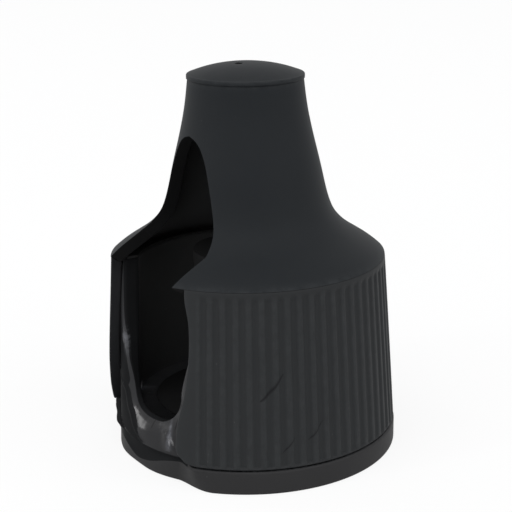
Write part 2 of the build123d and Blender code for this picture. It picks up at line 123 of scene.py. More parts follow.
# Joins patches into one closed mesh in place of a imported piece
# A patch is a grid of points, the material number of each face, and how much each point takes its finish's
# pale scuff colour: real scuffs on most pieces, painted highlights and a painted glint on the inner barrel
def buildPiece(name, patches, body, materials, replaced, bevel=None):
    points, faces, kinds, wearAndGlint = [], [], [], []
    count = 0
    for grid, kind, wornAndGlint in patches:
        rows, columns = grid.shape[:2]
        points.append(grid.reshape(-1, 3) * mm)
        wearAndGlint.append(np.broadcast_to(wornAndGlint, (rows, columns)).reshape(-1))
        faces.append(quadsOf(np.arange(rows * columns).reshape(rows, columns) + count))
        kinds.append(np.broadcast_to(kind, (rows - 1, columns - 1)).reshape(-1))
        count += rows * columns
    mesh = bpy.data.meshes.new(name)
    mesh.from_pydata(np.concatenate(points).tolist(), [], np.concatenate(faces).tolist())
    for material in materials:
        mesh.materials.append(material)
    mesh.polygons.foreach_set("material_index", np.concatenate(kinds).astype(np.int32))
    wearAndGlintLayer = mesh.attributes.new("wearAndGlint", "FLOAT", "POINT")
    wearAndGlintLayer.data.foreach_set("value", np.concatenate(wearAndGlint).astype(np.float32))
    joined = bmesh.new()
    joined.from_mesh(mesh)
    bmesh.ops.remove_doubles(joined, verts=joined.verts, dist=meshJoin["mergeDistance"])
    bmesh.ops.dissolve_degenerate(joined, edges=joined.edges, dist=meshJoin["smallestEdge"])
    bmesh.ops.recalc_face_normals(joined, faces=joined.faces)
    joined.to_mesh(mesh)
    joined.free()
    mesh.polygons.foreach_set("use_smooth", np.ones(len(mesh.polygons), bool))
    piece = bpy.data.objects.new(name, mesh)
    bpy.context.scene.collection.objects.link(piece)
    if bevel:
        rounding = piece.modifiers.new("rounding", "BEVEL")
        rounding.width = bevel["width"] * mm
        rounding.segments = bevel["segments"]
        rounding.limit_method = "ANGLE"
        rounding.angle_limit = math.radians(bevel["angle"])
        piece.modifiers.new("weightedNormals", "WEIGHTED_NORMAL").keep_sharp = True
    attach(piece, body)
    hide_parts(replaced)
    print("built", name, len(mesh.polygons), "faces")


# Node group that takes a place and some values, and puts out values. Gives it and its first and last nodes
def newGroup(name, inputs, outputs):
    group = bpy.data.node_groups.new(name, "ShaderNodeTree")
    group.interface.new_socket("Vector", in_out="INPUT", socket_type="NodeSocketVector")
    for label, value in inputs.items():
        socket = group.interface.new_socket(label, in_out="INPUT", socket_type="NodeSocketFloat")
        socket.default_value = value
    for label in outputs:
        group.interface.new_socket(label, in_out="OUTPUT", socket_type="NodeSocketFloat")
    return group, group.nodes.new("NodeGroupInput"), group.nodes.new("NodeGroupOutput")


# Links a socket to an input, or sets the input to a plain value
def feed(tree, socket, value):
    if isinstance(value, bpy.types.NodeSocket):
        tree.links.new(value, socket)
    else:
        socket.default_value = value


# Node with its settings. Inputs are given by name, with _ for a space
def addNode(tree, kind, settings=None, **values):
    node = tree.nodes.new(kind)
    for key, value in (settings or {}).items():
        setattr(node, key, value)
    for key, value in values.items():
        feed(tree, node.inputs[key.replace("_", " ")], value)
    return node


def addMath(tree, operation, first, second=0.0, clamp=False):
    node = addNode(tree, "ShaderNodeMath", {"operation": operation, "use_clamp": clamp})
    feed(tree, node.inputs[0], first)
    feed(tree, node.inputs[1], second)
    return node.outputs[0]


def mixColour(tree, factor, first, second):
    node = addNode(tree, "ShaderNodeMix", {"data_type": "RGBA"})
    feed(tree, node.inputs["Factor"], factor)
    for socket, value in zip([socket for socket in node.inputs if socket.type == "RGBA"], (first, second)):
        feed(tree, socket, value)
    return next(socket for socket in node.outputs if socket.type == "RGBA")


def mixShader(tree, factor, first, second):
    node = tree.nodes.new("ShaderNodeMixShader")
    for socket, value in zip(node.inputs, (factor, first, second)):
        tree.links.new(value, socket)
    return node.outputs[0]


# Fine mould texture as a height, and slow cloudy variation in tone
def makeGrainGroup():
    group, enter, leave = newGroup(
        "mouldGrain", {"Grain Size": 4000.0, "Cloud Size": 120.0}, ["Height", "Cloud"])
    fine = addNode(group, "ShaderNodeTexNoise", Vector=enter.outputs["Vector"],
                   Scale=enter.outputs["Grain Size"], Detail=3.0, Roughness=0.6)
    cloud = addNode(group, "ShaderNodeTexNoise", Vector=enter.outputs["Vector"],
                    Scale=enter.outputs["Cloud Size"], Detail=4.0, Roughness=0.55)
    group.links.new(fine.outputs["Fac"], leave.inputs["Height"])
    group.links.new(cloud.outputs["Fac"], leave.inputs["Cloud"])
    return group


wearAndGlintLook = {"scale": 650.0, "threshold": 0.32, "contrast": 2.4}


# Turns a piece's scuff share into a broken mask, so that scuffed edges, and the painted highlights and glint
# on the inner barrel, are patchy and not even lines
def makeWearGroup(look):
    group, enter, leave = newGroup("edgeWear", {"Wear": 0.0, "Amount": 0.5}, ["Mask"])
    patchy = addNode(group, "ShaderNodeTexNoise", Vector=enter.outputs["Vector"], Scale=look["scale"],
                     Detail=5.0, Roughness=0.7)
    lifted = addMath(group, "SUBTRACT", patchy.outputs["Fac"], look["threshold"])
    spread = addMath(group, "MULTIPLY", lifted, look["contrast"], clamp=True)
    wornAndGlint = addMath(group, "MULTIPLY", spread, enter.outputs["Wear"], clamp=True)
    mask = addMath(group, "MULTIPLY", wornAndGlint, enter.outputs["Amount"], clamp=True)
    group.links.new(mask, leave.inputs["Mask"])
    return group


dustLook = {"speckRadius": 0.09, "emptyShare": 0.93}


# Sparse pale specks of dust: few cells of a cell pattern hold one
def makeDustGroup(look):
    group, enter, leave = newGroup("fineDust", {"Scale": 900.0, "Amount": 0.3}, ["Mask"])
    specks = addNode(group, "ShaderNodeTexVoronoi", {"feature": "F1"}, Vector=enter.outputs["Vector"],
                     Scale=enter.outputs["Scale"])
    near = addMath(group, "LESS_THAN", specks.outputs["Distance"], look["speckRadius"])
    cell = addNode(group, "ShaderNodeSeparateColor", Color=specks.outputs["Color"])
    rare = addMath(group, "GREATER_THAN", cell.outputs["Red"], look["emptyShare"])
    mask = addMath(group, "MULTIPLY", near, rare)
    group.links.new(addMath(group, "MULTIPLY", mask, enter.outputs["Amount"]), leave.inputs["Mask"])
    return group


# One hairline scratch on a round wall, drawn in azimuth and height
# Along it the share t runs 0 to 1. It bows sideways by bow * 4t(1-t) and narrows as the root of that
def makeHairlineGroup():
    group, enter, leave = newGroup(
        "hairline",
        {"Start Angle": 0.0, "Start Height": 0.0, "Run": 4.0, "Rise": 4.0, "Bow": 0.0, "Width": 0.1,
         "Wall Radius": 20.5},
        ["Mask"])
    parts = addNode(group, "ShaderNodeSeparateXYZ", Vector=enter.outputs["Vector"])
    back = addMath(group, "MULTIPLY", parts.outputs["Y"], -1.0)
    angle = addMath(group, "ARCTAN2", parts.outputs["X"], back)
    turned = addMath(group, "SUBTRACT", angle, addMath(group, "RADIANS", enter.outputs["Start Angle"]))
    across = addMath(group, "MULTIPLY", turned, enter.outputs["Wall Radius"])
    height = addMath(group, "DIVIDE", parts.outputs["Z"], mm)
    upward = addMath(group, "SUBTRACT", height, enter.outputs["Start Height"])
    share = addMath(group, "DIVIDE", across, enter.outputs["Run"])
    straight = addMath(group, "MULTIPLY", share, enter.outputs["Rise"])
    rest = addMath(group, "SUBTRACT", 1.0, share)
    bulge = addMath(group, "MULTIPLY", addMath(group, "MULTIPLY", share, rest), 4.0)
    offset = addMath(group, "MULTIPLY", bulge, enter.outputs["Bow"])
    away = addMath(group, "SUBTRACT", addMath(group, "SUBTRACT", upward, straight), offset)
    away = addMath(group, "ABSOLUTE", away)
    taper = addMath(group, "SQRT", addMath(group, "MAXIMUM", bulge, 0.0))
    thin = addMath(group, "MAXIMUM", addMath(group, "MULTIPLY", enter.outputs["Width"], taper), 0.001)
    near = addMath(group, "SUBTRACT", 1.0, addMath(group, "DIVIDE", away, thin), clamp=True)
    begun = addMath(group, "GREATER_THAN", share, 0.0)
    inside = addMath(group, "MULTIPLY", begun, addMath(group, "LESS_THAN", share, 1.0))
    group.links.new(addMath(group, "MULTIPLY", near, inside), leave.inputs["Mask"])
    return group


grainGroup = makeGrainGroup()
wearAndGlintGroup = makeWearGroup(wearAndGlintLook)
dustGroup = makeDustGroup(dustLook)
hairlineGroup = makeHairlineGroup()
print("shader groups made:", len(bpy.data.node_groups))


def useGroup(tree, group, **values):
    return addNode(tree, "ShaderNodeGroup", {"node_tree": group}, **values)


# Material with one Principled shader, whose constant sockets are set here
def startMaterial(name, **constants):
    material = bpy.data.materials.new(name)
    material.use_nodes = True
    tree = material.node_tree
    shader = tree.nodes["Principled BSDF"]
    for key, value in constants.items():
        feed(tree, shader.inputs[key.replace("_", " ")], value)
    return material, tree, shader


# Object coordinates, and the mould grain laid out on them
def addGrain(tree, look):
    where = tree.nodes.new("ShaderNodeTexCoord").outputs["Object"]
    grain = useGroup(tree, grainGroup, Vector=where, Grain_Size=look["grainSize"],
                     Cloud_Size=look["cloudSize"])
    return where, grain


# Gives a shader its colour, its roughness spread about a middle value, and its bump
def finishShader(tree, shader, colour, cloud, height, look):
    tree.links.new(colour, shader.inputs["Base Color"])
    spread = addMath(tree, "MULTIPLY", cloud, look["roughnessSpread"])
    rough = addMath(tree, "ADD", spread, look["roughness"] - look["roughnessSpread"] / 2)
    tree.links.new(rough, shader.inputs["Roughness"])
    bump = addNode(tree, "ShaderNodeBump", Height=height, Distance=look["bumpDepth"] * mm,
                   Strength=look["bumpStrength"])
    tree.links.new(bump.outputs["Normal"], shader.inputs["Normal"])


mouldedFinish = {
    "colour": (0.0094, 0.0110, 0.0128, 1), "cloudColour": (0.0131, 0.0148, 0.0166, 1),
    "wornAndGlintColour": (0.044, 0.047, 0.049, 1), "wornAndGlintAmount": 0.55,
    "dustColour": (0.16, 0.16, 0.155, 1), "dustScale": 900.0, "dustAmount": 0.12,
    "scratchColour": (0.004, 0.004, 0.005, 1), "scratchRelief": 1.0,
    "grainSize": 4000.0, "cloudSize": 120.0, "bumpDepth": 0.03, "bumpStrength": 0.35,
    "roughness": 0.6, "roughnessSpread": 0.10, "specular": 0.10,
}
lowerFinish = dict(
    mouldedFinish, colour=(0.0150, 0.0162, 0.0174, 1), cloudColour=(0.0193, 0.0205, 0.0216, 1), specular=0.14)
ringFinish = dict(lowerFinish, colour=(0.0184, 0.0182, 0.0190, 1), cloudColour=(0.0227, 0.0225, 0.0233, 1))
glossFinish = {
    "colour": (0.0145, 0.0145, 0.0157, 1), "cloudColour": (0.0205, 0.0205, 0.0221, 1),
    # The pale scuff colour of these gloss finishes is a painted highlight on the inner barrel's surround and
    # a painted glint on its ledge; on the ring's band it marks scuffs on the top edge
    "wornAndGlintColour": (0.125, 0.128, 0.142, 1), "wornAndGlintAmount": 1.0,
    "dustColour": (0.12, 0.12, 0.12, 1), "dustScale": 1100.0, "dustAmount": 0.4,
    "scratchColour": (0.003, 0.003, 0.003, 1), "scratchRelief": 0.0,
    "grainSize": 260.0, "cloudSize": 420.0, "bumpDepth": 0.12, "bumpStrength": 0.25,
    "roughness": 0.14, "roughnessSpread": 0.12, "specular": 0.13,
}
# Painted sheen: a lighter, nearly unreflecting copy of the gloss black whose colour stands in for the sheen,
# on the far lip, the near side's upper surround and the ledge
cutPaintedSheenFinish = dict(
    glossFinish, colour=(0.0248, 0.0250, 0.0266, 1), cloudColour=(0.0310, 0.0312, 0.0328, 1),
    roughness=0.25, specular=0.03)
# Painted shade: a darker, unreflecting copy of the gloss black for the ring's top under the barrel, the
# barrel's foot below the flare and dark stripes of the surround
paintedShadeFinish = dict(
    glossFinish, colour=(0.0105, 0.0107, 0.0114, 1), cloudColour=(0.0130, 0.0133, 0.0140, 1),
    roughness=0.4, specular=0.004)
# Painted light: the skirt's cut faces take a colour lighter than the skirt, to make up for the shade they lie
# in
jambPaintedFillFinish = dict(
    glossFinish, colour=(0.0215, 0.0220, 0.0235, 1), cloudColour=(0.0275, 0.0280, 0.0300, 1),
    wornAndGlintColour=(0.034, 0.0345, 0.036, 1), roughness=0.35, specular=0.04)
# Painted shade: a near-black copy that hardly reflects, for the ring's band under the sill and its far step,
# the ridge of the surround and the strip from lip to bore
bandPaintedShadeFinish = dict(
    glossFinish, colour=(0.0110, 0.0113, 0.0120, 1), cloudColour=(0.0140, 0.0144, 0.0152, 1),
    roughness=0.4, specular=0.006)
# Bore wall: painted light, a colour much lighter than the gloss black so that the hollow reads lit, and a
# pale scuff colour that paints the glint
borePaintedFillAndGlintFinish = dict(
    glossFinish, colour=(0.0400, 0.0400, 0.0405, 1), cloudColour=(0.0480, 0.0480, 0.0485, 1),
    wornAndGlintColour=(0.62, 0.62, 0.65, 1), roughness=0.75, specular=0.06)
# Start azimuth, start height, run, rise, bow and width of each hairline
skirtScratches = [
    (61.3, 13.5, 3.3, 3.64, -0.33, 0.5),
    (79.7, 7.2, 2.3, 2.5, -0.12, 0.27),
    (69.4, 5.75, 1.82, 2.15, 0.0, 0.22),
]
sillScratches = [
    (6.9, 5.85, -0.50, 0.85, 0.0, 0.55),
    (22.3, 7.1, 0.22, 1.0, 0.0, 1.1),
]


# Plastic, dull or glossy, with a grain, cloudy tone, scuffed edges, dust and hairlines. On the inner barrel
# the pale scuff colour also paints highlights and a glint
def makePlastic(name, look, scratches=()):
    material, tree, shader = startMaterial(name, Specular_IOR_Level=look["specular"])
    where, grain = addGrain(tree, look)
    wornAndGlint = addNode(tree, "ShaderNodeAttribute", {"attribute_name": "wearAndGlint"})
    wearAndGlint = useGroup(tree, wearAndGlintGroup, Vector=where, Wear=wornAndGlint.outputs["Fac"], Amount=look["wornAndGlintAmount"])
    dust = useGroup(tree, dustGroup, Vector=where, Scale=look["dustScale"], Amount=look["dustAmount"])
    colour = mixColour(tree, grain.outputs["Cloud"], look["colour"], look["cloudColour"])
    colour = mixColour(tree, wearAndGlint.outputs["Mask"], colour, look["wornAndGlintColour"])
    colour = mixColour(tree, dust.outputs["Mask"], colour, look["dustColour"])
    height = grain.outputs["Height"]
    for start, low, run, rise, bow, width in scratches:
        line = useGroup(tree, hairlineGroup, Vector=where, Start_Angle=start, Start_Height=low, Run=run,
                        Rise=rise, Bow=bow, Width=width)
        colour = mixColour(tree, line.outputs["Mask"], colour, look["scratchColour"])
        relief = addMath(tree, "MULTIPLY", line.outputs["Mask"], look["scratchRelief"])
        height = addMath(tree, "SUBTRACT", height, relief)
    finishShader(tree, shader, colour, grain.outputs["Cloud"], height, look)
    return material


plainLook = {
    "grainSize": 3000.0, "cloudSize": 300.0, "roughnessSpread": 0.14, "bumpDepth": 0.02, "bumpStrength": 0.3,
}


# Hidden or small pieces: a two-tone grain with a matching bump
def makePlain(name, colour, cloudColour, roughness, specular):
    look = dict(plainLook, roughness=roughness)
    material, tree, shader = startMaterial(name, Specular_IOR_Level=specular)
    grain = addGrain(tree, look)[1]
    tone = mixColour(tree, grain.outputs["Cloud"], colour, cloudColour)
    finishShader(tree, shader, tone, grain.outputs["Cloud"], grain.outputs["Height"], look)
    return material


brushedLook = {
    "stretch": (400.0, 400.0, 9000.0), "roughnessSpread": 0.18, "bumpDepth": 0.01, "bumpStrength": 0.3,
}


# Turned or rolled steel: fine lines round the axis from a stretched noise
def makeBrushed(name, colour, lineColour, roughness):
    look = dict(brushedLook, roughness=roughness)
    material, tree, shader = startMaterial(name, Metallic=1.0)
    where = tree.nodes.new("ShaderNodeTexCoord").outputs["Object"]
    stretched = addNode(tree, "ShaderNodeMapping", Vector=where, Scale=look["stretch"])
    lines = addNode(tree, "ShaderNodeTexNoise", Vector=stretched.outputs["Vector"], Scale=1.0, Detail=2.0)
    tone = mixColour(tree, lines.outputs["Fac"], colour, lineColour)
    finishShader(tree, shader, tone, lines.outputs["Fac"], lines.outputs["Fac"], look)
    return material


charcoal = makePlastic("charcoalMoulded", mouldedFinish)
charcoalSkirt = makePlastic("charcoalSkirt", lowerFinish, skirtScratches)
charcoalRing = makePlastic("charcoalRing", ringFinish)
glossBlack = makePlastic("glossBlack", glossFinish, sillScratches)
cutPaintedSheen = makePlastic("cutPaintedSheen", cutPaintedSheenFinish, sillScratches)
paintedShadeBlack = makePlastic("paintedShadeBlack", paintedShadeFinish)
jambPaintedFill = makePlastic("jambPaintedFill", jambPaintedFillFinish)
bandPaintedShade = makePlastic("bandPaintedShade", bandPaintedShadeFinish)
borePaintedFillAndGlint = makePlastic("borePaintedFillAndGlint", borePaintedFillAndGlintFinish)
# Linings: painted light, the charcoal plastic given a much lighter colour inside, where little light reaches
innerPaintedFill = makePlain("innerPaintedFill", (0.040, 0.040, 0.0405, 1), (0.048, 0.048, 0.0485, 1), 0.75, 0.06)
deepBlack = makePlain("deepBlack", (0.0085, 0.0085, 0.0087, 1), (0.0108, 0.0108, 0.0110, 1), 0.7, 0.01)
rubberBlack = makePlain("rubberBlack", (0.018, 0.018, 0.018, 1), (0.024, 0.024, 0.024, 1), 0.8, 0.1)
# Near-black: the slip ring's own colour, and painted shade on the wall of the dome's vent well
slipRingAndWellShade = makePlain("slipRingAndWellShade", (0.003, 0.003, 0.003, 1), (0.005, 0.005, 0.005, 1), 0.6, 0.1)
darkSteel = makeBrushed("darkSteel", (0.02, 0.02, 0.022, 1), (0.04, 0.04, 0.042, 1), 0.4)
steel = makeBrushed("steel", (0.42, 0.42, 0.43, 1), (0.55, 0.55, 0.56, 1), 0.3)
print("finishes made:", len(bpy.data.materials))

baseRingShape = {
    "bore": 15.6, "edgeRadius": 0.35, "lipRound": 0.28,
    "reliefDepth": 2.25, "nearAngle": 32.0, "nearBlend": 5.5, "farAngle": 48.0, "farBlend": 0.5,
    "farLean": 2.0, "farLeanSpread": 6.0, "farFlare": 0.6, "farFlareAngles": (8.0, 24.0),
    "endFlare": 1.7, "endFlareAngle": 31.0, "scoopDepth": 0.45,
    "footSwell": 0.2, "swellAngle": 14.0, "footNearAngle": 34.5, "footNearBlend": 9.5,
    "stepClear": 0.1, "darkFrom": 0.35, "wornAndGlint": 0.5, "wornPlace": 0.9, "wornSpread": 0.2, "footWorn": 0.2,
    "columns": 540, "stepColumns": 8, "wallRows": 14, "bandRows": 8, "cornerRows": 4, "boreRows": 3,
    "endRows": 6,
}
bandLine = splineThrough(                      # height over azimuth where the band under the sill begins
    [-60, -34, -20, -12, -6, 1, 6, 12, 18, 24, 30, 60],
    [2.6, 2.3, 2.1, 1.9, 1.5, 1.05, 1.2, 1.65, 2.3, 2.75, 3.0, 3.0])


# Ring set back below the window. Its wall is plumb up to the band line, above it the band leans
# radius = R - depth * (1 - near step) * (1 - far step), and the band adds flare * t^1.5 - scoop * t(2 - t)
# At the foot the depth is less by swell * a^2 exp(1 - a^2), where a is the azimuth over the swell's
def makeBaseRing(shape):
    skinKind, bandKind, boreKind, topKind = range(4)
    farAngle, farBlend, edge = shape["farAngle"], shape["farBlend"], shape["edgeRadius"]
    even = np.linspace(-180, 180, shape["columns"] + 1)
    atStep = np.linspace(-farAngle - farBlend, -farAngle + farBlend, shape["stepColumns"] + 1)
    clear = (even < atStep[0] - shape["stepClear"]) | (even > atStep[-1] + shape["stepClear"])
    azimuth = np.sort(np.concatenate([even[clear], atStep]))[None, :]
    nearStep = ease(azimuth, shape["nearAngle"] - shape["nearBlend"], shape["nearAngle"] + shape["nearBlend"])
    farStep = ease(-azimuth, farAngle - farBlend, farAngle + farBlend)
    setBack = (1 - nearStep) * (1 - farStep)
    radius = ringRadius - shape["reliefDepth"] * setBack
    footStep = ease(azimuth, shape["footNearAngle"] - shape["footNearBlend"],
                    shape["footNearAngle"] + shape["footNearBlend"])
    aside = (azimuth / shape["swellAngle"]) ** 2
    footDepth = shape["reliefDepth"] - shape["footSwell"] * aside * np.exp(1 - aside)
    footRadius = ringRadius - footDepth * (1 - footStep) * (1 - farStep)
    bandFoot = bandLine(azimuth)

    # The far end of the set-back leans along the ring towards its foot
    def ringRow(r, z):
        slide = shape["farLean"] * (1 - z / ringTop) * bell(azimuth, -farAngle, shape["farLeanSpread"])
        return around(r, azimuth - slide, z)
    quarter = np.linspace(0, math.pi / 2, shape["cornerRows"] + 1)[:, None]
    up = np.linspace(0, 1, shape["wallRows"] + 1)[1:, None]
    foot = ringRow(footRadius - edge * (1 - np.sin(quarter)), edge * (1 - np.cos(quarter)))
    wall = ringRow(footRadius + (radius - footRadius) * up, edge + (bandFoot - edge) * up)
    lower = np.concatenate([foot, wall])
    t = np.linspace(0, 1, shape["bandRows"] + 1)[:, None]
    onFar = ease(-azimuth, *shape["farFlareAngles"])
    endShare = ease(-azimuth, shape["endFlareAngle"], farAngle)
    flare = shape["farFlare"] + (shape["endFlare"] - shape["farFlare"]) * endShare
    lean = flare * onFar * t ** 1.5 - shape["scoopDepth"] * (1 - onFar) * t * (2 - t)
    rounded = shape["lipRound"] * (1 - np.sqrt(np.clip(1 - t ** 2, 0, 1)))
    band = ringRow(radius + setBack * lean - (1 - setBack) * rounded, bandFoot + (ringTop - bandFoot) * t)
    bore = ringRow(np.full((shape["boreRows"] + 1, 1), shape["bore"]),
                   np.linspace(0, ringTop, shape["boreRows"] + 1)[:, None])
    middle = (azimuth[0, 1:] + azimuth[0, :-1]) / 2
    isStep = np.abs(middle + farAngle) < farBlend
    # The band under the sill and the far step take the painted shade
    isBand = isStep | ((setBack[0, 1:] > shape["darkFrom"]) & (middle > -farAngle))
    wornAndGlint = shape["wornAndGlint"] * (1 - setBack) * bell(t, shape["wornPlace"], shape["wornSpread"])
    patches = [
        (lower, np.where(isStep, bandKind, skinKind)[None, :], 0.0),
        (band, np.where(isBand, bandKind, skinKind)[None, :], wornAndGlint),
        (bore, boreKind, 0.0),
        (blendRows(lower[0], bore[0], shape["endRows"]), skinKind, shape["footWorn"]),
        # The ring's top takes the painted shade
        (blendRows(band[-1], bore[-1], shape["endRows"]), topKind, 0.0),
    ]
    materials = [charcoalRing, bandPaintedShade, rubberBlack, paintedShadeBlack]
    buildPiece("baseRing", patches, "barrel", materials, "base_ring")


makeBaseRing(baseRingShape)

skirtShape = {
    "midRadius": 20.85, "topRadius": 20.0, "wall": 1.45, "cutRadius": 0.35,
    "endRound": 0.1, "endSpread": 0.08,
    "ribCount": 72, "ribDepth": 0.28, "ribTop": 28.1, "ribFade": 1.0, "ribStart": 0.1, "ribFoot": 0.25,
    "grooveFrom": 0.08, "grooveTo": 0.85, "nearPlain": 36.6, "farPlain": 37.5, "plainBlend": 1.2,
    "nearEven": 37.5, "farEven": 52.5,         # the columns keep an even pitch between these azimuths
    "ribWorn": 0.5, "edgeWorn": 0.45, "edgeWornSpread": 0.8, "cutWorn": 0.25,
    "samplesPerRib": 12, "nearColumns": 10, "farColumns": 30, "turnSteps": 5, "flatSteps": 5, "roundFaces": 2,
    "seamRows": [0, 0.05, 0.1, 0.17, 0.25, 0.35, 0.5, 0.65, 0.85, 1.1, 1.4, 1.8, 2.3],
    "middleRows": 34, "middleFrom": 2.9, "middleTo": 2.6,
    "shoulderRows": [2.0, 1.6, 1.3, 1.05, 0.8, 0.6, 0.4, 0.25, 0.12, 0.04, 0],
}
nearSlotLine = splineThrough(                  # half widths of the slot over height
    [3.6, 3.85, 4.3, 4.9, 5.6, 7.1, 9.3, 12.3, 14.9, 18.5, 22.4, 24.6, 27.0, 28.6],
    [13.3, 12.1, 11.3, 10.65, 10.3, 10.25, 10.36, 10.9, 11.24, 11.45, 11.36, 11.1, 10.6, 10.49])
farSlotLine = splineThrough(
    [3.6, 4.6, 5.7, 6.8, 9.1, 11.4, 14.0, 17.5, 22.5, 28.6],
    [15.5, 15.0, 14.5, 14.0, 13.2, 12.5, 12.0, 11.65, 11.3, 10.5])


# Parabola through the radii at the seam, half height and shoulder
def skirtRadiusAt(height, shape):
    share = (height - skirtFoot) / (skirtTop - skirtFoot)
    rise = 4 * shape["midRadius"] - 3 * skirtRadius - shape["topRadius"]
    fall = 2 * (skirtRadius + shape["topRadius"] - 2 * shape["midRadius"])
    return skirtRadius + rise * share + fall * share ** 2


# Cut face of a wall, row by row, whose outer corner is rounded by p(s) = (1-s)^2 a + 2s(1-s) corner + s^2 b
# a lies on the skin, b on the flat, each a radius from the corner
def roundedCut(outerEdge, alongSkin, innerEdge, radius, turnSteps, flatSteps):
    inwards = innerEdge - outerEdge
    inwards = inwards / np.linalg.norm(inwards, axis=-1, keepdims=True)
    start, end = outerEdge + radius * alongSkin, outerEdge + radius * inwards
    s = np.linspace(0, 1, turnSteps + 1)[None, :, None]
    turn = (1 - s) ** 2 * start[:, None] + 2 * s * (1 - s) * outerEdge[:, None] + s ** 2 * end[:, None]
    flat = np.linspace(0, 1, flatSteps + 1)[None, 1:, None]
    return np.concatenate([turn, end[:, None] * (1 - flat) + innerEdge[:, None] * flat], axis=1)


# Tapered wall with a curved slot, whose outside is radius(z) - depth * groove, a rounded wave in azimuth
def makeRibbedSkirt(shape):
    skinKind, liningKind, cutKind = range(3)
    height = np.concatenate([
        skirtFoot + np.array(shape["seamRows"]),
        np.linspace(skirtFoot + shape["middleFrom"], skirtTop - shape["middleTo"], shape["middleRows"]),
        skirtTop - np.array(shape["shoulderRows"]),
    ])
    radius = skirtRadiusAt(height, shape)
    innerRadius = radius - shape["wall"]
    nearEdge, farEdge = edgeAngle(nearSlotLine(height), radius), edgeAngle(farSlotLine(height), radius)
    turn = np.degrees(shape["cutRadius"] / radius)
    start, end = (nearEdge + turn)[:, None], (360 - farEdge - turn)[:, None]
    pitch = 360 / shape["ribCount"]
    step = pitch / shape["samplesPerRib"]
    even = np.arange(shape["nearEven"], 360 - shape["farEven"] + step / 2, step)
    nearShare = np.linspace(0, 1, shape["nearColumns"] + 1)[:-1]
    farShare = np.linspace(0, 1, shape["farColumns"] + 1)[1:]
    azimuth = np.concatenate([
        start + (even[0] - start) * nearShare,
        np.broadcast_to(even, (len(height), len(even))),
        even[-1] + (end - even[-1]) * farShare,
    ], axis=1)
    wave = 0.5 + 0.5 * np.cos(2 * np.pi * (azimuth / pitch - 0.5))       # 1 on a rib, 0 between two
    groove = 1 - ease(wave, shape["grooveFrom"], shape["grooveTo"])
    inRibs = ease(azimuth, shape["nearPlain"], shape["nearPlain"] + shape["plainBlend"])
    inRibs = inRibs * ease(360 - azimuth, shape["farPlain"], shape["farPlain"] + shape["plainBlend"])
    ribFoot = skirtFoot + shape["ribStart"]
    fade = 1 - ease(height, shape["ribTop"] - shape["ribFade"], shape["ribTop"])
    fade = (fade * ease(height, ribFoot, ribFoot + shape["ribFoot"]))[:, None]
    nearEnds = np.exp(-(height - skirtFoot) / shape["endSpread"])
    nearEnds = nearEnds + np.exp(-(skirtTop - height) / shape["endSpread"])
    rounded = shape["endRound"] * nearEnds
    outer = around(radius[:, None] - shape["ribDepth"] * groove * inRibs * fade - rounded[:, None],
                   azimuth, height[:, None])
    innerNear = edgeAngle(nearSlotLine(height), innerRadius)[:, None]
    innerFar = edgeAngle(farSlotLine(height), innerRadius)[:, None]
    share = (azimuth - start) / (end - start)
    inner = around(innerRadius[:, None], innerNear + (360 - innerFar - innerNear) * share, height[:, None])
    cutFaces = []
    for column, corner, side in ((0, nearEdge, 1), (-1, 360 - farEdge, -1)):
        along = np.stack([np.cos(np.radians(corner)), np.sin(np.radians(corner)), 0 * corner], axis=-1) * side
        face = roundedCut(around(radius - rounded, corner, height), along, inner[:, column],
                          shape["cutRadius"], shape["turnSteps"], shape["flatSteps"])
        face[:, 0] = outer[:, column]
        cutFaces.append(face)
    onCorner = np.arange(cutFaces[0].shape[1] - 1) < shape["roundFaces"]
    cutKinds = np.where(onCorner, skinKind, cutKind)[None, :]
    patches = [(face, cutKinds, shape["cutWorn"]) for face in cutFaces]
    for row in (0, -1):
        rim = blendRows(outer[row], inner[row], shape["turnSteps"] + shape["flatSteps"])
        rim[:, 0], rim[:, -1] = cutFaces[0][row], cutFaces[1][row]
        patches.append((rim, cutKind, 0.0))
    away = np.minimum(azimuth - start, end - azimuth)
    wornAndGlint = shape["ribWorn"] * (1 - groove) * inRibs * fade
    wornAndGlint = np.clip(wornAndGlint + shape["edgeWorn"] * np.exp(-away / shape["edgeWornSpread"]), 0, 1)
    patches += [(outer, skinKind, wornAndGlint), (inner, liningKind, 0.0)]
    materials = [charcoalSkirt, innerPaintedFill, jambPaintedFill]
    buildPiece("ribbedSkirt", patches, "hood", materials, "ribbed_skirt")


makeRibbedSkirt(skirtShape)

neckShape = {
    "wall": 1.8, "archTop": 46.8, "spring": 31.9, "jamb": 8.9, "archCrowding": 1.15,
    "liningDrop": 1.0, "rowGap": 1e-6,
    "wornSpread": 0.5, "footWorn": 0.7, "rimWorn": 0.6, "endWorn": 0.5, "jambWorn": 0.3,
    "columns": 200, "archRows": 70, "jambRows": 13, "closedRows": 26, "jambSteps": 6, "endSteps": 2,
    "bevel": {"width": 0.14, "segments": 3, "angle": 40},
}
neckLine = splineThrough(                      # radius over height
    [28.6, 29.7, 30.8, 31.9, 33.05, 34.2, 36.5, 41.0, 45.6, 50.2, 54.2],
    [neckRadius, 18.65, 17.0, 15.35, 14.0, 13.0, 11.9, 10.8, 9.7, 8.75, 8.25])
archLine = splineThrough(                      # height over half width
    [0.0, 2.6, 4.6, 6.85, 8.9], [46.8, 45.55, 42.2, 36.0, 31.9])


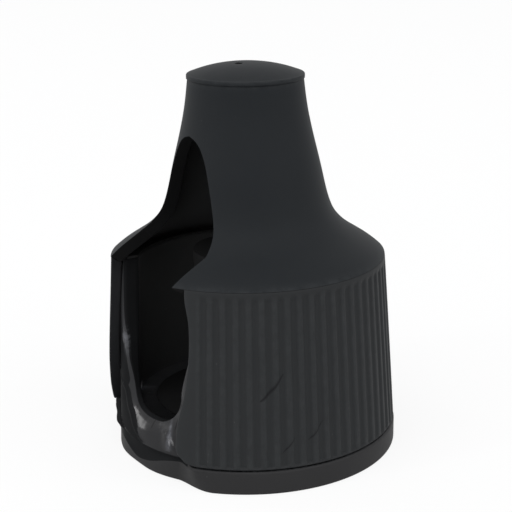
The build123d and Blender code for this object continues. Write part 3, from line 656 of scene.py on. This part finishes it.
# Wall of revolution about Z of even thickness, open at the front below an arch
def makeNeckShell(shape):
    skinKind, liningKind, cutKind = range(3)
    archShare = np.sin(np.linspace(0, math.pi / 2, shape["archRows"])) ** shape["archCrowding"]
    archWidth = (shape["jamb"] * archShare)[::-1]
    jambHeight = np.linspace(skirtTop, shape["spring"], shape["jambRows"] + 1)[:-1]
    closedHeight = np.linspace(shape["archTop"], neckTop, shape["closedRows"] + 1)[1:]
    height = np.concatenate([jambHeight, archLine(archWidth), closedHeight])
    jambWidth = np.full(len(jambHeight), shape["jamb"])
    halfWidth = np.concatenate([jambWidth, archWidth, np.zeros(len(closedHeight))])
    radius = neckLine(height)
    slope = np.gradient(radius, height)
    lean = 1 / np.sqrt(1 + slope ** 2)
    innerRadius = radius - shape["wall"] * lean
    innerHeight = height + shape["wall"] * lean * slope
    innerHeight = np.clip(innerHeight, skirtTop - shape["liningDrop"], neckTop)
    apart = shape["rowGap"] * np.arange(len(innerHeight))
    innerHeight = np.maximum.accumulate(innerHeight + apart)
    share = np.linspace(0, 1, shape["columns"] + 1)[None, :]

    def skin(r, z):
        edge = edgeAngle(halfWidth, r)[:, None]
        return around(r[:, None], edge + (360 - 2 * edge) * share, z[:, None])
    outer, inner = skin(radius, height), skin(innerRadius, innerHeight)
    wornAndGlint = shape["footWorn"] * bell(height, skirtTop, shape["wornSpread"])
    wornAndGlint = wornAndGlint + shape["rimWorn"] * bell(height, neckTop, shape["wornSpread"])
    patches = [(outer, skinKind, wornAndGlint[:, None]), (inner, liningKind, 0.0)]
    for row in (0, -1):
        patches.append((blendRows(outer[row], inner[row], shape["endSteps"]), cutKind, shape["endWorn"]))
    openRows = slice(0, np.flatnonzero(halfWidth > 0)[-1] + 2)
    for column in (0, -1):
        jamb = blendRows(outer[openRows, column], inner[openRows, column], shape["jambSteps"])
        patches.append((jamb, cutKind, shape["jambWorn"]))
    materials = [charcoal, innerPaintedFill, deepBlack]
    buildPiece("neckShell", patches, "hood", materials, "neck_shell", shape["bevel"])


makeNeckShell(neckShape)

domeShape = {
    "rimHeight": 0.6, "edge": 0.18, "crownPower": 2.2, "plugRadius": 6.35, "seat": 0.01,
    "ventX": 0.3, "ventY": -1.3, "ventRadius": 0.55,
    "crownWorn": 0.25, "lipWorn": 0.7, "sideWorn": 0.4,
    "columns": 160, "rings": 30, "lipRows": 4, "sideRows": 2, "plugRows": 3, "ceilingRows": 4, "wellRows": 6,
}


# Crown z = apex - rise * (r/R)^2.2 over rings that slide from the vent's rim out to the cap's edge,
# then the lip, the side, and the plug that sits in the neck
def makeDomeCap(shape):
    skinKind, liningKind, wellKind = range(3)
    turn = np.linspace(0, 2 * math.pi, shape["columns"] + 1)[None, :]

    def ring(radius, height, x=0.0, y=0.0):
        parts = x + radius * np.cos(turn), y + radius * np.sin(turn), height
        return np.stack(np.broadcast_arrays(*parts), axis=-1)
    rimTop = neckTop + shape["rimHeight"]
    crownRadius = domeRadius - shape["edge"]
    seat = neckTop + shape["seat"]
    share = np.linspace(0, 1, shape["rings"] + 1)[:, None]
    crown = ring(shape["ventRadius"] + (crownRadius - shape["ventRadius"]) * share, 0.0,
                 shape["ventX"] * (1 - share), shape["ventY"] * (1 - share))
    reach = np.hypot(crown[..., 0], crown[..., 1]) / crownRadius
    crown[..., 2] = domeApex - (domeApex - rimTop) * reach ** shape["crownPower"]
    quarter = np.linspace(0, math.pi / 2, shape["lipRows"] + 1)[:, None]
    lip = ring(crownRadius + shape["edge"] * np.sin(quarter), rimTop - shape["edge"] * (1 - np.cos(quarter)))
    side = blendRows(lip[-1], ring(domeRadius, seat)[0], shape["sideRows"])
    plugTop, plugFoot = ring(shape["plugRadius"], seat)[0], ring(shape["plugRadius"], domeLow)[0]
    wellFoot = crown[0] * np.array([1, 1, 0]) + np.array([0, 0, domeLow])
    ceiling = blendRows(plugFoot, wellFoot, shape["ceilingRows"])
    patches = [
        (crown, skinKind, shape["crownWorn"] * share), (lip, skinKind, shape["lipWorn"]),
        (side, skinKind, shape["sideWorn"]),
        (blendRows(side[-1], plugTop, shape["sideRows"]), liningKind, 0.0),
        (blendRows(plugTop, plugFoot, shape["plugRows"]), liningKind, 0.0), (ceiling, liningKind, 0.0),
        # The vent well's wall is painted near-black: painted shade
        (blendRows(ceiling[-1], crown[0], shape["wellRows"]), wellKind, 0.0),
    ]
    materials = [charcoal, innerPaintedFill, slipRingAndWellShade]
    buildPiece("domeCap", patches, "hood", materials, "dome_cap")


makeDomeCap(domeShape)

barrelShape = {
    "bore": 16.4, "ledgeBore": 14.0, "ledgeThickness": 1.0, "drawnTop": 27.3, "lipGap": 0.12,
    "bulge": 0.28, "bulgeRise": 0.8, "topCalm": 6, "markFade": 0.07,
    "ridgeHeight": 0.10, "ridgeWidth": 0.05, "ridgeFrom": 0.03,
    "grooveShare": 0.16, "grooveAlong": (0.01, 0.05),
    "farLip": 0.8, "farLipAlong": (0.36, 0.48), "farLipDrop": 0.2, "farLipDropAlong": (0.66, 0.76),
    "farCutFrom": 0.22, "glossPlace": 0.735, "glossHalf": 0.05, "nearCutShare": 0.55, "nearCutFrom": 0.16,
    "columns": 160, "openRows": 120, "flareSteps": 52, "lipSteps": 4, "footSteps": 2,
}
barrelLine = splineThrough(                    # radius over height
    [3.4, 9.0, 14.0, 21.8, 28.6], [19.4, 19.36, 19.28, 18.98, 18.42])
# Each outline runs from the middle of the sill up to the barrel's top: its half width, height and radius
outlineStations = [0, 0.12, 0.24, 0.34, 0.44, 0.54, 0.64, 0.74, 0.86, 1]
flareWidth = splineThrough(outlineStations, [0, 4.0, 7.0, 8.8, 9.8, 10.5, 11.0, 11.3, 11.35, 11.2])
flareHeight = splineThrough(outlineStations, [3.55, 3.6, 3.95, 4.75, 6.1, 8.1, 10.9, 14.5, 19.5, 27.3])
lipWidth = splineThrough(outlineStations, [0, 2.5, 4.3, 5.6, 6.55, 7.2, 7.8, 8.8, 9.9, 10.7])
lipHeight = splineThrough(outlineStations, [6.6, 6.75, 7.3, 8.25, 9.6, 11.2, 13.1, 15.9, 20.2, 27.3])
lipRadius = splineThrough(outlineStations, [17.2, 17.2, 17.2, 17.2, 17.25, 17.5, 17.85, 18.2, 18.42, 18.35])
boreWidth = splineThrough(outlineStations, [0, 2.6, 4.5, 5.9, 6.9, 7.6, 8.2, 9.1, 10.1, 10.8])
boreHeight = splineThrough(outlineStations, [6.87, 6.95, 7.4, 8.3, 9.6, 11.2, 13.1, 15.9, 20.2, 27.3])
farSide, nearSide = -1, 1
ridgePlaces = {                                # share of the way in from the flare's edge
    farSide: splineThrough([0, 0.06, 0.14, 0.25, 0.38, 0.48, 0.56, 0.64, 1],
                           [0.17, 0.34, 0.52, 0.56, 0.55, 0.40, 0.14, 0.0, 0.0]),
    nearSide: splineThrough([0, 0.03, 0.06, 0.1, 1], [0.17, 0.08, 0.02, 0.0, 0.0]),
}
raisedMarks = [                                # side, place along and across, spread both ways, height
    (nearSide, 0.245, 0.28, 0.042, 0.38, 0.23),
    (farSide, 0.735, 0.9, 0.033, 0.42, 0.31),
]
# Painted highlights: the pale scuff colour laid on the surround where it shines, partly on top of the lamps'
# own highlights
paintedHighlightPlaces = [                               # side, place, spread, lean along the surround, strength
    (nearSide, 0.268, 0.36, 0.019, 0.50, 0.07, 1.7),
    (farSide, 0.725, 0.94, 0.050, 0.26, 0.0, 1.2),
]
lipBurr = {"height": 15.6, "spread": 1.6, "depth": 0.28}
# Painted glint: a pale spot on the bore's wall and ledge top, at an azimuth and height
boreGlint = {"azimuth": -37.0, "turn": 2.4, "height": 7.1, "spread": 0.55, "strength": 2.6}


# Spot on the surround: exp(-(along / spread)^2 - (across / spread)^4)
def surroundSpot(along, alongSpread, across, acrossSpread):
    return np.exp(-(along / alongSpread) ** 2 - (across / acrossSpread) ** 4)


# Tapered tube with a ledge. Its keyhole has a flared surround that falls to a wide sill in front
# The surround is p(s) = flare + (lip - flare) s + bulge 4s(1-s) outwards, with a low ridge along it
def makeInnerBarrel(shape):
    glossKind, paintedShadeKind, boreKind, cutKind, bandKind = range(5)
    u = np.linspace(0, 1, shape["openRows"] + 1)
    heightLines = (flareHeight, lipHeight, boreHeight)
    flareZ, lipZ, boreZ = (line(u) * barrelTop / shape["drawnTop"] for line in heightLines)
    lipR = np.minimum(lipRadius(u), barrelLine(flareZ) - shape["lipGap"])
    columns = np.linspace(0, 1, shape["columns"] + 1)[None, :]

    def skin(r, z, half):
        edge = edgeAngle(half, r)[:, None]
        return around(r[:, None], edge + (360 - 2 * edge) * columns, z[:, None])
    ledgeFoot = ledgeTop - shape["ledgeThickness"]
    ledge = np.array([                         # radius and height of the bore's rows below the window
        [shape["bore"], ringTop], [shape["bore"], ledgeFoot], [shape["ledgeBore"], ledgeFoot],
        [shape["ledgeBore"], ledgeTop], [shape["bore"], ledgeTop]])
    lowRows = len(ledge)
    shut = np.zeros(lowRows)
    outerZ = np.concatenate([np.linspace(ringTop, flareZ[0], lowRows + 1)[:-1], flareZ])
    outer = skin(barrelLine(outerZ), outerZ, np.concatenate([shut, flareWidth(u)]))
    inner = skin(np.concatenate([ledge[:, 0], np.full(len(u), shape["bore"])]),
                 np.concatenate([ledge[:, 1], boreZ]), np.concatenate([shut, boreWidth(u)]))
    lip = skin(lipR, lipZ, lipWidth(u))
    burr = lipBurr["depth"] * bell(lipZ, lipBurr["height"], lipBurr["spread"])
    lip[:, -1] = skin(lipR - burr, lipZ, lipWidth(u))[:, -1]
    # Painted glint on the bore's wall, fading over the ledge
    innerAzimuth = np.degrees(np.arctan2(inner[..., 0], -inner[..., 1]))
    borePaintedGlint = boreGlint["strength"] * bell(innerAzimuth, boreGlint["azimuth"], boreGlint["turn"])
    borePaintedGlint = borePaintedGlint * bell(inner[..., 2], boreGlint["height"], boreGlint["spread"])
    ledgeEdge = np.flatnonzero(ledge[:, 0] == shape["ledgeBore"])
    borePaintedGlint[ledgeEdge] = 0                    # the painted glint is kept off the ledge's own edge
    # The barrel's rows below the flare take the painted shade
    outerKind = np.where(np.arange(len(outer) - 1) < lowRows, paintedShadeKind, glossKind)[:, None]
    # The ledge takes the painted sheen copy, the bore wall its painted light
    innerKind = np.where(np.arange(len(inner) - 1) < lowRows, cutKind, boreKind)[:, None]
    patches = [(outer, outerKind, 0.0), (inner, innerKind, borePaintedGlint),
               (blendRows(outer[0], inner[0], shape["footSteps"]), boreKind, 0.0)]
    s = np.linspace(0, 1, shape["flareSteps"] + 1)
    arch = s * (1 - s)
    faceS, rowU = (s[None, 1:] + s[None, :-1]) / 2, u[1:, None]
    calm = (1 - u ** shape["topCalm"])[:, None]
    half = shape["ridgeWidth"]
    for column, side in ((0, nearSide), (-1, farSide)):
        surround = blendRows(outer[lowRows:, column], lip[:, column], shape["flareSteps"]).transpose(1, 0, 2)
        outwards = surround * np.array([1, 1, 0])
        outwards = outwards / np.linalg.norm(outwards, axis=-1, keepdims=True)
        outwards = outwards + np.array([0, 0, shape["bulgeRise"]])
        ridge = ridgePlaces[side](u)[:, None]
        hasRidge = (arch > 0) & (ridge > shape["ridgeFrom"])
        raised = 4 * arch * shape["bulge"] + shape["ridgeHeight"] * bell(s, ridge, half) * hasRidge
        for markSide, markU, markS, spreadU, spreadS, lift in raisedMarks:
            spot = surroundSpot(u[:, None] - markU, spreadU, s - markS, spreadS)
            raised = raised + (side == markSide) * lift * spot * ease(arch, 0, shape["markFade"])
        # Painted highlight share of each point of the surround
        paintedHighlight = np.zeros((len(u), len(s)))
        for markSide, markU, markS, spreadU, spreadS, leanU, strength in paintedHighlightPlaces:
            along = u[:, None] - markU - leanU * (s - markS)
            paintedHighlight = paintedHighlight + (side == markSide) * strength * surroundSpot(along, spreadU, s - markS, spreadS)
        surround = surround + outwards * (raised * calm)[:, :, None]
        place = ridge[1:]
        # Outside the ridge the surround takes the painted shade; on the far side so does the groove beside
        # the ridge
        kind = np.where(faceS < place - half, paintedShadeKind, glossKind)
        if side == farSide:
            groove = shape["grooveShare"] * ease(rowU, *shape["grooveAlong"])
            lipShare = shape["farLip"] * ease(rowU, *shape["farLipAlong"])
            lipShare = lipShare - shape["farLipDrop"] * ease(rowU, *shape["farLipDropAlong"])
            lipStart = np.maximum(place + half + groove, lipShare)
            kind = np.where((faceS > place + half) & (faceS < lipStart), paintedShadeKind, kind)
            # The far lip, but for a glossy spot, takes the painted sheen
            dull = (rowU > shape["farCutFrom"]) & (np.abs(rowU - shape["glossPlace"]) > shape["glossHalf"])
            kind = np.where((faceS >= lipStart) & dull, cutKind, kind)
        else:
            # The near side's upper surround takes the painted sheen in place of gloss
            kind = np.where((faceS > shape["nearCutShare"]) & (rowU > shape["nearCutFrom"]), cutKind, kind)
        # The ridge's strip, and then the strip from lip to bore, take the band's painted shade
        kind = np.where((place > shape["ridgeFrom"]) & (np.abs(faceS - place) <= half), bandKind, kind)
        jamb = blendRows(lip[:, column], inner[lowRows:, column], shape["lipSteps"]).transpose(1, 0, 2)
        patches += [(surround, kind, paintedHighlight), (jamb, bandKind, 0.0)]
    patches.append((blendRows(outer[-1], lip[-1], shape["flareSteps"]), glossKind, 0.0))
    patches.append((blendRows(lip[-1], inner[-1], shape["lipSteps"]), boreKind, 0.0))
    materials = [glossBlack, paintedShadeBlack, borePaintedFillAndGlint, cutPaintedSheen, bandPaintedShade]
    buildPiece("innerBarrel", patches, "barrel", materials, "inner_barrel")


makeInnerBarrel(barrelShape)

finishOf = {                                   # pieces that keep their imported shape
    steel: ["base_screws", "index_spring", "metering_ball", "breather_ball", "vent_screen"],
    darkSteel: ["retaining_clip", "tube_screws"],
    rubberBlack: ["grip_ring", "lip_gasket", "barrel_top_seal", "tube_gasket", "ball_seat"],
    deepBlack: ["port_plate", "metering_tube", "nozzle_cap", "breather_cage", "breather_tube",
                "screen_retainer"],
    slipRingAndWellShade: ["slip_ring"],
}
for finish, nodeNames in finishOf.items():
    for nodeName in nodeNames:
        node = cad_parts[nodeName]
        node.data.materials.clear()
        node.data.materials.append(finish)
    print(finish.name, "given to", ", ".join(nodeNames))

stageLook = {                                  # reach in metres
    "reach": 1.5, "floorColour": (0.93, 0.93, 0.93, 1), "floorRoughness": 0.9, "floorSpecular": 0.1,
    "floorWhite": 0.85, "white": (1, 1, 1, 1), "fillColour": (0.97, 0.985, 1, 1), "fillStrength": 0.55,
}


# 1 for rays that look at a surface straight, in a mirror or through glass, and 0 for the light it gives
def seenDirectly(tree):
    ray = tree.nodes.new("ShaderNodeLightPath")
    seen = addMath(tree, "ADD", ray.outputs["Is Camera Ray"], ray.outputs["Is Glossy Ray"], clamp=True)
    return addMath(tree, "ADD", seen, ray.outputs["Is Transmission Ray"], clamp=True)


# Pale floor that looks almost white and keeps the soft shadow under the spout
def makeFloor(look):
    reach = look["reach"]
    mesh = bpy.data.meshes.new("floor")
    corners = [(-reach, -reach, 0), (reach, -reach, 0), (reach, reach, 0), (-reach, reach, 0)]
    mesh.from_pydata(corners, [], [(0, 1, 2, 3)])
    floor = bpy.data.objects.new("floor", mesh)
    bpy.context.scene.collection.objects.link(floor)
    material, tree, shader = startMaterial(
        "paleFloor", Base_Color=look["floorColour"], Roughness=look["floorRoughness"],
        Specular_IOR_Level=look["floorSpecular"])
    glow = addNode(tree, "ShaderNodeEmission", Color=look["white"], Strength=1.0)
    share = addMath(tree, "MULTIPLY", seenDirectly(tree), look["floorWhite"])
    surface = mixShader(tree, share, shader.outputs[0], glow.outputs[0])
    tree.links.new(surface, tree.nodes["Material Output"].inputs["Surface"])
    mesh.materials.append(material)


# White where it is looked at, and a dimmer, cooler light on everything else
def makeWorld(look):
    world = bpy.data.worlds.new("studio")
    world.use_nodes = True
    bpy.context.scene.world = world
    tree = world.node_tree
    tree.nodes.clear()
    white = addNode(tree, "ShaderNodeBackground", Color=look["white"], Strength=1.0)
    fill = addNode(tree, "ShaderNodeBackground", Color=look["fillColour"], Strength=look["fillStrength"])
    surface = mixShader(tree, seenDirectly(tree), fill.outputs[0], white.outputs[0])
    tree.links.new(surface, tree.nodes.new("ShaderNodeOutputWorld").inputs["Surface"])


# Turns an object so that it looks along forward, its own right side level but for the roll in radians
def aim(holder, forward, roll):
    forward = np.array(forward) / np.linalg.norm(forward)
    level = np.cross(forward, [0, 0, 1])
    level = level / np.linalg.norm(level)
    upright = np.cross(level, forward)
    right = math.cos(roll) * level + math.sin(roll) * upright
    up = math.cos(roll) * upright - math.sin(roll) * level
    holder.rotation_euler = Matrix(np.stack([right, up, -forward], axis=1).tolist()).to_euler("XYZ")


lamps = {                                      # place seen from the spout, distance and size in metres
    "keySoftbox": {
        "azimuth": 24, "elevation": 53, "distance": 2.4, "size": (2.4, 2.4), "radiance": 1.55, "roll": 0},
    "sideSoftbox": {
        "azimuth": 115, "elevation": 37, "distance": 2.3, "size": (2.2, 2.2), "radiance": 1.38, "roll": 0},
    "farPanel": {
        "azimuth": -62, "elevation": 20, "distance": 1.0, "size": (0.28, 0.11), "radiance": 7.5, "roll": -39},
    "nearPanel": {
        "azimuth": -7, "elevation": 20, "distance": 1.0, "size": (0.13, 0.26), "radiance": 12.0, "roll": 0},
}


# Rectangular soft box aimed at the spout's foot. Its power is radiance * pi * area
def addLamp(name, look):
    width, height = look["size"]
    lamp = bpy.data.lights.new(name, "AREA")
    lamp.shape = "RECTANGLE"
    lamp.size, lamp.size_y = width, height
    lamp.energy = look["radiance"] * math.pi * width * height
    holder = bpy.data.objects.new(name, lamp)
    bpy.context.scene.collection.objects.link(holder)
    elevation = math.radians(look["elevation"])
    holder.location = around(look["distance"] * math.cos(elevation), look["azimuth"],
                             look["distance"] * math.sin(elevation))
    aim(holder, -np.array(holder.location), math.radians(look["roll"]))


cameraView = {
    "place": (161.53, -102.90, 84.70), "heading": 57.14, "pitch": 16.54, "roll": -0.63,
    "lens": 95.8, "sensor": 36.0, "clipStart": 10.0,
}


# Camera that looks along its heading, turned from +Y towards -X, and down by the pitch
def makeCamera(view):
    camera = bpy.data.objects.new("camera", bpy.data.cameras.new("camera"))
    bpy.context.scene.collection.objects.link(camera)
    camera.location = [value * mm for value in view["place"]]
    camera.data.lens = view["lens"]
    camera.data.sensor_width = view["sensor"]
    camera.data.clip_start = view["clipStart"] * mm
    heading, pitch, roll = (math.radians(view[key]) for key in ("heading", "pitch", "roll"))
    forward = (-math.sin(heading) * math.cos(pitch), math.cos(heading) * math.cos(pitch), -math.sin(pitch))
    aim(camera, forward, roll)
    bpy.context.scene.camera = camera


makeFloor(stageLook)
makeWorld(stageLook)
for lampName, lampLook in lamps.items():
    addLamp(lampName, lampLook)
makeCamera(cameraView)
bpy.context.scene.view_settings.view_transform = "Standard"
print("floor, world,", len(lamps), "lamps and camera set")
